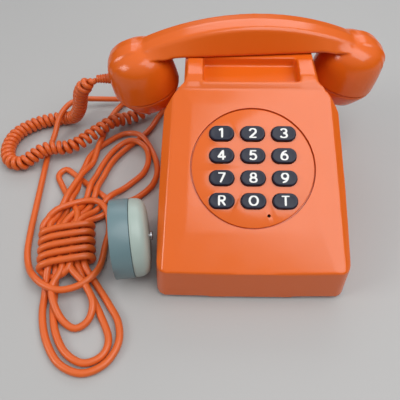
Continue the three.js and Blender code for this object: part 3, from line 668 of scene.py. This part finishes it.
# A point with two numbers lies on the table or on the strands already laid there.
CORD_ROUTE = [
    # from the case, round behind it, and down through the innermost loop
    (-30, 106.8, 12), (-30, 112, 11.4), (-33, 119, 8), (-42, 125, 4), (-54, 125, 2.7),
    (-65, 118.5, 2.7), (-73, 108, 2.7), (-80, 94, 2.7), (-86, 78, 2.7), (-95, 63), (-106, 50),
    (-117, 33), (-124, 9), (-128, -17),
    *tie_pass(2.65, 8, 7.8, False),
    # inner lower loop
    (-117, -98), (-106, -116), (-98, -134), (-101, -144), (-112, -149), (-125, -143), (-135, -129),
    (-140, -114), (-142, -99),
    *tie_pass(-8, -8, 7.8, True),
    # widest upper loop
    (-147, -25), (-143, -5), (-142, 17), (-139, 39), (-126, 57), (-109, 69), (-92, 61), (-81, 42),
    (-76, 22), (-79, 5), (-89, -8), (-102, -18), (-116, -29),
    *tie_pass(13.25, 13.25, 8.2, False),
    # outer lower loop
    (-112, -93), (-101, -108), (-93, -121), (-91, -135), (-98, -149), (-112, -155.5), (-128, -150),
    (-140, -135), (-147, -117), (-149, -100),
    *tie_pass(-2.65, -13.25, 10.6, True),
    # second upper loop
    (-136, -23), (-131, 5), (-126, 28), (-115, 50), (-101, 56), (-90, 50), (-85, 36), (-88, 19),
    (-98, 6), (-111, -8), (-122, -24),
    *tie_pass(7.95, 2.65, 10.8, False),
    # small lower loop
    (-118, -97), (-112, -109), (-114, -120), (-122, -125.5), (-131, -121), (-139, -110), (-143, -98),
    *tie_pass(-13.25, -2.65, 11.2, True),
    # up on the left, and a bight behind the handset's end
    (-152, -32), (-145, -5), (-137, 20), (-133, 42), (-131, 61), (-131, 72), (-128, 90),
    (-121, 108), (-112, 122), (-104, 134), (-93, 140), (-83, 133), (-86, 121), (-98, 114, 6),
    (-112, 114, 8.6), (-126, 113, 9),
    # big loop on the far left and round under the tie
    (-143, 112, 10), (-157, 105, 15), (-166, 93, 18.2), (-172.5, 79, 15.5), (-176, 64, 7),
    (-178.5, 47, 2.9), (-177, 16, 2.7), (-175, -17, 2.7), (-173, -47, 2.7), (-170.5, -66, 2.7),
    (-165.5, -79, 4.4), (-159, -88, 8.8), (-150, -95.5, 9.6), (-137, -100, 9.7), (-123, -96, 9.7),
    (-114, -87.5, 10), (-111.6, -75.5, 4.6), (-111.2, -58), (-110, -42), (-113.5, -28),
    (-122, -19), (-134, -19), (-147, -27), (-158, -38, 11),
    *wraps(),
    # back through the tie, a small loop, and under the strands to the wall box
    tie_point(-15, -22.5, 5), tie_point(-5, -25, 8), tie_point(2, -21, 11), tie_point(4, -8, 11.4),
    tie_point(5, 8, 11.4), (-136, -33, 10.5), (-146, -16, 5), (-157, 2, 2.7), (-163, 15, 2.7),
    (-158, 22, 2.7), (-148, 15, 2.7), (-134, 3, 2.7), (-119, -9, 2.7), (-108, -20, 2.7),
    (-101, -29, 3.4), (-96.5, -33, 6), (-94.2, -38.4, 10.8), (-93.6, -42.5, 15.5),
]
GOES_UNDER_FROM = len(CORD_ROUTE) - 12  # the last stretch lies under the strands laid before it
LAY_STEP = 2.5
LAY_GAP = 0.1
LAY_ROUNDS = 4
LIFT_SLOPE = 0.45  # how steeply a strand rises to cross another
LIFT_SMOOTHED = 3  # steps to each side


def laid(points, diameter):
    """The cord's line with each strand that lies free lifted over those under it."""
    full = [(*p, diameter / 2 + LAY_GAP) if len(p) == 2 else p for p in points]
    free = np.array([len(p) == 2 for p in points])
    line, span = through(full, LAY_STEP)
    low = np.floor(span).astype(int)
    is_free = free[low] | free[np.minimum(low + 1, len(points) - 1)]
    goes_under = span >= GOES_UNDER_FROM
    count = len(line)
    order = np.arange(count)
    apart = np.linalg.norm(line[:, None, :2] - line[None, :, :2], axis=2)
    between = np.abs(order[:, None] - order[None])
    near = (apart < diameter) & (between * LAY_STEP > 4 * diameter)
    under = near & is_free[:, None] & (goes_under[None] | (is_free[None] & (order[None] < order[:, None])))
    reach = np.sqrt(np.maximum(diameter**2 - apart**2, 0))
    floor = line[:, 2].copy()
    ramp = LIFT_SLOPE * between * LAY_STEP
    window = 2 * LIFT_SMOOTHED + 1
    for _ in range(LAY_ROUNDS):
        needed = np.where(is_free, np.where(under, line[None, :, 2] + reach, 0).max(1), line[:, 2])
        spread = (needed[None] - ramp).max(1)
        lifted = np.where(is_free, np.maximum(floor, spread), floor)
        padded = np.pad(lifted, LIFT_SMOOTHED, mode="edge")
        smooth = np.convolve(padded, np.ones(window) / window, mode="valid")
        line[:, 2] = np.where(is_free, np.maximum(smooth, floor), floor)
    line[:, 2] = np.maximum(line[:, 2], diameter / 2 + LEAST_GAP)
    return line


class TELEPHONE_OT_line_cord(bpy.types.Operator):
    """The straight cord, tied in a hank, from the case to the wall box"""

    bl_idname = "telephone.line_cord"
    bl_label = "Line cord"

    def execute(self, context):
        diameter = context.scene.telephone_sizes.line_cord / MM
        line = laid(CORD_ROUTE, diameter)
        cord = tube("line_cord_jacket", line, diameter / 2, sides=12)
        parts = ["start", "big_loop", "end", "upper_loops", "lower_loops", "tie"]
        finish(cord, cord_jacket(), "base", ["line_cord_" + part for part in parts], angle=60)
        return {"FINISHED"}


BOOT_RIBS = 4
BOOT_Y = 93.5


class TELEPHONE_OT_boots(bpy.types.Operator):
    """The ribbed boots where the cords leave the handset and the case"""

    bl_idname = "telephone.boots"
    bl_label = "Cord boots"

    def execute(self, context):
        at_handset = HANDSET @ moved(-110, 0, -27) @ rotated(-90, "Y")
        at_curly = moved(CURLY_EXIT[0], BOOT_Y, CURLY_EXIT[2]) @ rotated(-90, "X")
        at_line = moved(LINE_EXIT[0], BOOT_Y, LINE_EXIT[2]) @ rotated(-90, "X")
        boots = (
            ("handset_cord_boot", "handset_cord_grommet", "handset", 4.6, 3.1, 14, at_handset),
            ("base_curly_boot", "base_curly_grommet", "base", 4.8, 3.2, 13, at_curly),
            ("base_line_boot", "base_line_grommet", "base", 3.8, 3.1, 13, at_line),
        )
        for name, cad, body, wide, narrow, long, place in boots:
            profile = [(0, 0), (wide, 0)]
            for i in range(BOOT_RIBS):
                start = long * (0.35 + 0.6 * i / BOOT_RIBS)
                radius = wide + (narrow - wide) * start / long
                groove = radius - 0.5
                profile += [(radius, start), (groove, start + 0.3), (groove, start + 1), (radius, start + 1.3)]
            profile += [(narrow, long - 0.3), (narrow - 0.4, long), (0, long)]
            boot = put(turned(name, profile, 40), place)
            finish(boot, cord_jacket(), body, [cad])
        return {"FINISHED"}


# ------------------------------------------------------------------ case
class TELEPHONE_OT_case(bpy.types.Operator):
    """The upper case, with its cradle and the round opening for the key plate"""

    bl_idname = "telephone.case"
    bl_label = "Case"

    def execute(self, context):
        case = copy_of("upper_housing", "case")
        # The opening is closed while the skin is made, and cut again with a sharp edge.
        joined(case, put(bar("lid", OPENING_RADIUS + 2, -2.6, 0, sides=96), FACE))
        softened(case, voxel=0.95, rounds=2)
        boolean(case, put(bar("hole", OPENING_RADIUS, -12, 12, sides=160), FACE))
        finish(case, orange_plastic(), "base", ["upper_housing"])
        return {"FINISHED"}


SLOT_ROOM = 0.8  # a slot's size over its key's


class TELEPHONE_OT_key_plate(bpy.types.Operator):
    """The round plate that the keys stand in"""

    bl_idname = "telephone.key_plate"
    bl_label = "Key plate"

    def execute(self, context):
        flange = [(OPENING_RADIUS - 0.1, -3), (OPENING_RADIUS - 0.1, -2.2), (PLATE_RADIUS, -2.2)]
        edge = [(PLATE_RADIUS, -0.6), (PLATE_RADIUS - 0.2, -0.2), (PLATE_RADIUS - 0.7, 0)]
        plate = turned("key_plate", [(0, -3), *flange, *edge, (0, 0)], 160)
        slots = []
        for row, names in enumerate(KEY_ROWS):
            for column in range(len(names)):
                slot = rounded_bar("slot", KEY_LENGTH + SLOT_ROOM, KEY_WIDTH + SLOT_ROOM, -8, 8)
                slots.append(put(slot, FACE.inverted() @ key_place(row, column)))
        pinhole = bar("pinhole", 1.2, -8, 8, at=(10.6, -34.3), sides=24)
        boolean(plate, joined(*slots, pinhole))
        put(plate, FACE)
        finish(plate, orange_plastic(), "base", ["keypad_plate"])
        return {"FINISHED"}


# ------------------------------------------------------------------ keys
def arc(x, y, wide, high, start, end):
    """Points on part of an ellipse, from one angle to another."""
    steps = max(4, round(abs(end - start) / 12))
    angles = [math.radians(start + (end - start) * i / steps) for i in range(steps + 1)]
    return [(x + wide * math.cos(a), y + high * math.sin(a)) for a in angles]


STROKE_RADIUS, STROKE_HEIGHT, STROKE_STEP = 0.64, 0.13, 0.25
MARK_SCALE, MARK_Z = 1.12, 2.12
SIX = [[(1.2, 3), *arc(1.6, -1.1, 3.5, 4.0, 110, 175)], arc(0, -1.15, 1.9, 1.85, 0, 360)]
STROKES = {
    "0": [arc(0, 0, 2.5, 2.9, 90, 450)],
    "1": [[(-1.5, 1.9), (0.2, 3)], [(0.2, 3), (0.2, -3)]],
    "2": [[*arc(0, 1.2, 1.9, 1.8, 165, -30), (-1.9, -3)], [(-1.9, -3), (2, -3)]],
    "3": [arc(-0.1, 1.5, 1.7, 1.5, 155, -90), arc(-0.1, -1.5, 2, 1.5, 90, -155)],
    "4": [[(0.8, 3), (-2.1, -1.2)], [(-2.1, -1.2), (2.1, -1.2)], [(0.8, 3), (0.8, -3)]],
    "5": [[(1.7, 3), (-1.3, 3)], [(-1.3, 3), (-1.6, 0.2)], arc(-0.1, -1.1, 1.95, 1.9, 130, -150)],
    "6": SIX,
    "7": [[(-1.9, 3), (1.9, 3)], [(1.9, 3), (-0.8, -3)]],
    "8": [arc(0, 1.5, 1.55, 1.5, -90, 270), arc(0, -1.45, 1.95, 1.55, 90, 450)],
    "9": [[(-x, -y) for x, y in stroke] for stroke in SIX],
    "R": [
        [(-1.7, 3), (-1.7, -3)],
        [(-1.7, 3), *arc(0.2, 1.45, 1.6, 1.55, 90, -90), (-1.7, -0.1)],
        [(0, -0.1), (1.9, -3)],
    ],
    "T": [[(-2.1, 3), (2.1, 3)], [(0, 3), (0, -3)]],
}


class TELEPHONE_OT_keys(bpy.types.Operator):
    """Twelve key caps with white characters"""

    bl_idname = "telephone.keys"
    bl_label = "Keys"

    def execute(self, context):
        cap = joined(self.dished_cap(), rounded_bar("skirt", 19.6, 13.4, -5, -3.4, sides=64))
        for row, names in enumerate(KEY_ROWS):
            for column, character in enumerate(names):
                key = cap.copy()
                key.data = cap.data.copy()
                key.name = "key_cap_" + character.lower()
                context.scene.collection.objects.link(key)
                finish(key, key_plastic())
                joined(key, self.mark(character))
                put(key, key_place(row, column))
                body = "key_" + character.lower()
                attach(key, body)
                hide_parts(body)
        bpy.data.objects.remove(cap)
        return {"FINISHED"}

    def dished_cap(self):
        """The key's upper part, with a rounded rim and a shallow dish in its top."""
        cap = rounded_bar("cap", KEY_LENGTH, KEY_WIDTH, -4.4, 2.4, sides=64)
        with Editing(cap) as mesh:
            bpy.ops.mesh.select_all(action="DESELECT")
            top = [f for f in mesh.faces if f.normal.z > 0.9][0]
            for edge in top.edges:
                edge.select = True
            mesh.select_flush_mode()
            bpy.ops.mesh.bevel(offset=0.9 * MM, segments=4, profile=0.5, affect="EDGES", clamp_overlap=False)
            bpy.ops.mesh.select_all(action="DESELECT")
            mesh = bmesh.from_edit_mesh(cap.data)
            top = max(mesh.faces, key=lambda f: (round(f.calc_center_median().z, 5), f.calc_area()))
            top.select = True
            mesh.select_flush_mode()
            for inset, drop in ((1.3, 0.22), (1.5, 0.08)):
                bpy.ops.mesh.inset(thickness=inset * MM)
                bpy.ops.transform.translate(value=(0, 0, -drop * MM))
        return cap

    def mark(self, character):
        """One character in rounded strokes, a little proud of the key's dished top."""
        strokes = []
        for points in STROKES[character]:
            line = np.array([(x, y, 0.0) for x, y in points])
            way = way_along(line)
            even = np.linspace(0, way[-1], max(3, round(way[-1] / STROKE_STEP)))
            strokes.append(tube("stroke", resampled(line, way, even), STROKE_RADIUS, sides=10))
        flat = Matrix.Diagonal((MARK_SCALE, MARK_SCALE, STROKE_HEIGHT / STROKE_RADIUS, 1))
        return finish(put(joined(*strokes), moved(0, 0, MARK_Z) @ flat), digit_paint())


# ------------------------------------------------------------------ handset
# The outline of one end as (radius, height) over the seam of its cap.
DOME = [
    (27.9, -3), (28, 2), (27.7, 11), (26.8, 19.6), (24.8, 27.2), (20.8, 32.8), (14.8, 36.4),
    (7.6, 38.3), (3, 38.7),
]
DOME_TOP = 38.8
GRIP_HALF_TOP, GRIP_HALF_BOTTOM, GRIP_HEIGHT, GRIP_ARC = 10.4, 17.2, 20.6, 215
# Where the grip runs on over an end: place and height of its top, lean of the section, its depth.
GRIP_OVER_END = [
    (92, 3.4, 8, 6.5), (99, 1.4, 22, 6.5), (105.5, -2.4, 40, 6.5), (111, -8.6, 62, 6.5),
    (112.6, -14, 74, 6.5),
]
CORD_SIDE = (-109, 0, -27)  # where the cord enters, in the handset's own frame


def grip_section(x, top, lean, depth):
    """One section of the grip; depth is how far it goes down from its top."""
    half = [
        (GRIP_HALF_BOTTOM - 1.5, depth), (GRIP_HALF_BOTTOM, depth - 1.8),
        (GRIP_HALF_TOP + 1.2, 2.2), (GRIP_HALF_TOP - 0.8, 0.4),
    ]
    outline = [*half, (0, -0.5), *[(-y, d) for y, d in reversed(half)]]
    a = math.radians(lean)
    return [(x - d * math.sin(a), y, top - d * math.cos(a)) for y, d in outline]


def grip():
    """The handle: a bar with sloping flanks and an arched top that runs on over both ends."""
    stations = [(-x, top, -lean, depth) for x, top, lean, depth in reversed(GRIP_OVER_END)]
    for x in range(-84, 85, 6):
        top = GRIP_HEIGHT - GRIP_ARC + math.sqrt(GRIP_ARC**2 - x * x)
        stations.append((x, top, 0, top + 2 * min(1, max(0, (abs(x) - 58) / 8))))
    stations += GRIP_OVER_END
    obj = skinned("grip", [grip_section(*station) for station in through(stations, 2)[0]])
    with Editing(obj):
        bpy.ops.mesh.select_all(action="SELECT")
        bpy.ops.mesh.normals_make_consistent(inside=False)
    return obj


class TELEPHONE_OT_handset(bpy.types.Operator):
    """The handset's shell and its two screwed caps"""

    bl_idname = "telephone.handset"
    bl_label = "Handset"

    def execute(self, context):
        outline = through([(r, 0, z) for r, z in DOME], 2)[0]
        profile = [(0, DOME[0][1]), *[(p[0], p[2]) for p in outline], (0, DOME_TOP)]
        ends = [put(turned("end", profile), end_place(side)) for side in (-1, 1)]
        shell = joined(put(grip(), HANDSET), *ends)
        shell.name = "handset_case"
        softened(shell, voxel=0.85, rounds=4)
        for side in (-1, 1):
            # Each end is cut flat at the seam of its cap and hollowed for its capsule.
            below = turned("below", [(0, -9), (34, -9), (34, 1.2), (27.7, 1.2), (27.1, 0.2), (0, 0.2)], 96)
            boolean(shell, put(below, end_place(side)))
            well = turned("well", [(0, -6), (24.6, -6), (24.6, 14), (21, 24), (12, 29), (0, 30)], 72)
            boolean(shell, put(well, end_place(side)))
        entry = put(bar("entry", 5, -12, 12, sides=32), rotated(90, "Y"))
        boolean(shell, put(entry, HANDSET @ moved(*CORD_SIDE)))
        finish(shell, orange_plastic(), "handset", ["handset_shell"])
        self.cap("mouthpiece", "mouthpiece_cap", -1, 6)
        self.cap("earpiece", "earpiece_cap", 1, 8)
        return {"FINISHED"}

    def cap(self, name, cad, side, ring_holes):
        """A screwed cap with two rings of holes, the inner one of ring_holes and the outer of twice that."""
        outer = [
            (18.4, -15.6), (19.5, -14.9), (21.2, -12.4), (23.6, -8.6), (26.0, -4.4), (27.3, -1.5),
            (27.3, -1.1), (26.8, -0.3),
        ]
        inner = [(26.4, -0.1), (24.9, -0.1), (24.9, -1.4), (22.6, -6.4), (17.5, -13), (0, -13)]
        cap = turned(name, [(0, -15), (12.6, -15), (13, -15.6), *outer, *inner], 120)
        places = [(0, 0)]
        for radius, count in ((4.6, ring_holes), (9, 2 * ring_holes)):
            places += [
                (radius * math.cos(2 * math.pi * i / count), radius * math.sin(2 * math.pi * i / count))
                for i in range(count)
            ]
        drills = [bar("drill", 0.95, -20, -10, at=place, sides=16) for place in places]
        boolean(cap, joined(*drills))
        finish(put(cap, end_place(side)), orange_plastic(), "handset", [cad])


# ------------------------------------------------------------------ wall box
BOX_RADIUS = 28.8
BOX_BASE_HEIGHT, BOX_SEAM, BOX_COVER_HEIGHT = 13.7, 0.3, 12.3
BOX_ENTRY_ANGLE = 62
BOX_HOLES = (-17, 17)  # for the two screws that would hold it to a wall


class TELEPHONE_OT_wall_box(bpy.types.Operator):
    """The round wall box, its lid, contacts and bolt"""

    bl_idname = "telephone.wall_box"
    bl_label = "Wall box"

    def execute(self, context):
        r, t = BOX_RADIUS, BOX_BASE_HEIGHT
        rim = [(r - 1.9, 4.2), (r - 1.9, 0.3), (r - 1.6, 0), (r - 0.4, 0), (r, 0.4)]
        lip = [(r, t - 0.7), (r - 0.35, t - 0.1), (r - 0.9, t), (r - 2.4, t), (r - 2.4, 5.6), (0, 5.6)]
        body = turned("wall_box_body", [(0, 4.2), *rim, *lip], 160)
        at_rim = rotated(BOX_ENTRY_ANGLE, "Z") @ moved(r, 0, 9) @ rotated(90, "Y")
        entry = put(bar("entry", 3.2, -6, 6, sides=32), at_rim)
        holes = [bar("hole", 2.2, -5, 10, at=(x, 0), sides=32) for x in BOX_HOLES]
        boolean(body, joined(entry, *holes))
        finish(body, box_grey(), "base", ["wall_box_base"])
        # The near-black plate and its ribs are painted shade in the open back of the box.
        back = joined(self.painted_shade_backing(), *[self.rib(angle) for angle in range(0, 360, 60)])
        finish(back, dark_plastic(), "base")
        clip = self.clip()
        finish(clip, clip_plastic(), "base")
        for obj in (body, back, clip):
            put(obj, WALL_BOX)
        joined(body, back, clip)

        t += BOX_SEAM
        top = t + BOX_COVER_HEIGHT
        dome = [
            (r - 0.7, 0, t), (r - 0.3, 0, t + 0.5), (r - 0.4, 0, t + 3.4), (r - 1.2, 0, t + 7),
            (r - 3.6, 0, t + 9.9), (r - 8, 0, t + 11.4), (r - 16, 0, t + 12.1), (3, 0, top),
        ]
        under = [(0, t + 9.6), (r - 9, t + 9.2), (r - 3.4, t + 6), (r - 3, t)]
        lid = turned("wall_box_lid", [*under, *[(p[0], p[2]) for p in through(dome, 1)[0]], (0, top)], 160)
        boolean(lid, bar("hole", 2, 0, 60, sides=32))
        finish(put(lid, WALL_BOX), box_cover_grey(), "base", ["wall_box_cover"])

        contacts = block("wall_box_contacts", (-14, -9, 5.8), (14, 9, 12))
        boolean(contacts, bar("hole", 3, 0, 20, sides=32))
        bevelled(contacts, 0.6)
        finish(put(contacts, WALL_BOX), dark_plastic(), "base", ["wall_box_terminal"])

        shank, head = [(0, 6), (1.6, 6), (1.6, 26.9)], [(3.2, 26.9), (3.2, 28), (2.6, 28.5), (0, 28.6)]
        bolt = turned("wall_box_bolt", [*shank, *head], 48)
        boolean(bolt, block("slit", (-4, -0.4, 27.8), (4, 0.4, 30)))
        finish(put(bolt, WALL_BOX), plated_steel(), "base", ["wall_box_screw"])
        return {"FINISHED"}

    def painted_shade_backing(self):
        """A near-black plate sunk in the open back: painted shade, standing in for the dark inside of the box.
        """
        r = BOX_RADIUS
        plate = turned("painted_shade_backing", [(0, 3), (r - 2.6, 3), (r - 2, 3.6), (r - 2, 4.3), (0, 4.3)], 96)
        return boolean(plate, joined(*[bar("hole", 2.4, 0, 8, at=(x, 0), sides=32) for x in BOX_HOLES]))

    def rib(self, angle):
        """One of the ribs on the painted-shade plate, which point to its middle; they are near-black like it.
        """
        rib = bevelled(block("rib", (8, -0.6, 1.2), (14, 0.6, 3.2)), 0.3)
        return put(rib, rotated(angle + 30, "Z"))

    def clip(self):
        """The light wire clip on the back, bent like a hook."""
        bend = [(20, -20, 2.2), (21.5, -12, 1.8), (21, -4, 1.8), (17, 1, 1.8), (12, -1, 1.8), (11, -6, 2.2)]
        return tube("clip", through(bend, 0.7)[0], 0.9, sides=10)


# ------------------------------------------------------------------ underside and inside
class TELEPHONE_OT_small_parts(bpy.types.Operator):
    """Feet, screws, base plate and the works inside"""

    bl_idname = "telephone.small_parts"
    bl_label = "Small parts"

    def execute(self, context):
        steel = [
            "base_plate", "ringer_frame", "gong_screw_left", "gong_screw_right", "ringer_capacitor", "clapper",
            *["housing_screw_%d" % i for i in (1, 2, 3, 4)],
        ]
        dark = [
            "speech_transformer", "line_terminal_block", "ringer_coil", "hook_switch_block", "hook_lever",
            "plunger_left", "plunger_right", "transmitter_capsule", "receiver_capsule",
        ]
        finishes = (
            (plated_steel(), steel),
            (dark_plastic(), dark),
            (foot_rubber(), ["keypad_contact_mat"]),
            (gong_brass(), ["gong_left", "gong_right"]),
            (board_laminate(), ["keypad_circuit_board", "main_circuit_board"]),
        )
        for material, names in finishes:
            for name in names:
                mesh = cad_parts[name].data
                mesh.materials.clear()
                mesh.materials.append(material)
        for place in ("front_left", "front_right", "rear_left", "rear_right"):
            low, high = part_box("foot_" + place)
            centre = (low + high) / 2
            profile = [(0, 0.6), (4.6, 0.6), (5.2, 0), (6.4, 0), (7.1, 0.3), (7.4, 1), (7.4, 2.5), (0, 2.5)]
            foot = turned("rubber_foot_" + place, profile, 64)
            put(foot, Matrix.Translation((centre.x, centre.y, 0)))
            finish(foot, foot_rubber(), "base", ["foot_" + place])
        return {"FINISHED"}


# ------------------------------------------------------------------ panel and running order
STEPS = (
    TELEPHONE_OT_stage,
    TELEPHONE_OT_boots,
    TELEPHONE_OT_wall_box,
    TELEPHONE_OT_coiled_cord,
    TELEPHONE_OT_line_cord,
    TELEPHONE_OT_case,
    TELEPHONE_OT_key_plate,
    TELEPHONE_OT_keys,
    TELEPHONE_OT_handset,
    TELEPHONE_OT_small_parts,
)


class TELEPHONE_PT_panel(bpy.types.Panel):
    """Lists the telephone's sizes, colours and pieces"""

    bl_label = "Desk Telephone"
    bl_space_type = "VIEW_3D"
    bl_region_type = "UI"
    bl_category = "Telephone"

    def draw(self, context):
        for settings in (context.scene.telephone_sizes, context.scene.telephone_colours):
            for name in settings.__annotations__:
                self.layout.prop(settings, name)
        for step in STEPS:
            self.layout.operator(step.bl_idname)


CLASSES = (TelephoneSizes, TelephoneColours, *STEPS, TELEPHONE_PT_panel)


def register():
    for cls in CLASSES:
        bpy.utils.register_class(cls)
    bpy.types.Scene.telephone_sizes = PointerProperty(type=TelephoneSizes)
    bpy.types.Scene.telephone_colours = PointerProperty(type=TelephoneColours)


def unregister():
    del bpy.types.Scene.telephone_colours
    del bpy.types.Scene.telephone_sizes
    for cls in reversed(CLASSES):
        bpy.utils.unregister_class(cls)


def main():
    register()
    bpy.ops.object.select_all(action="DESELECT")
    for step in STEPS:
        group, name = step.bl_idname.split(".")
        getattr(getattr(bpy.ops, group), name)()


if __name__ == "__main__":
    main()
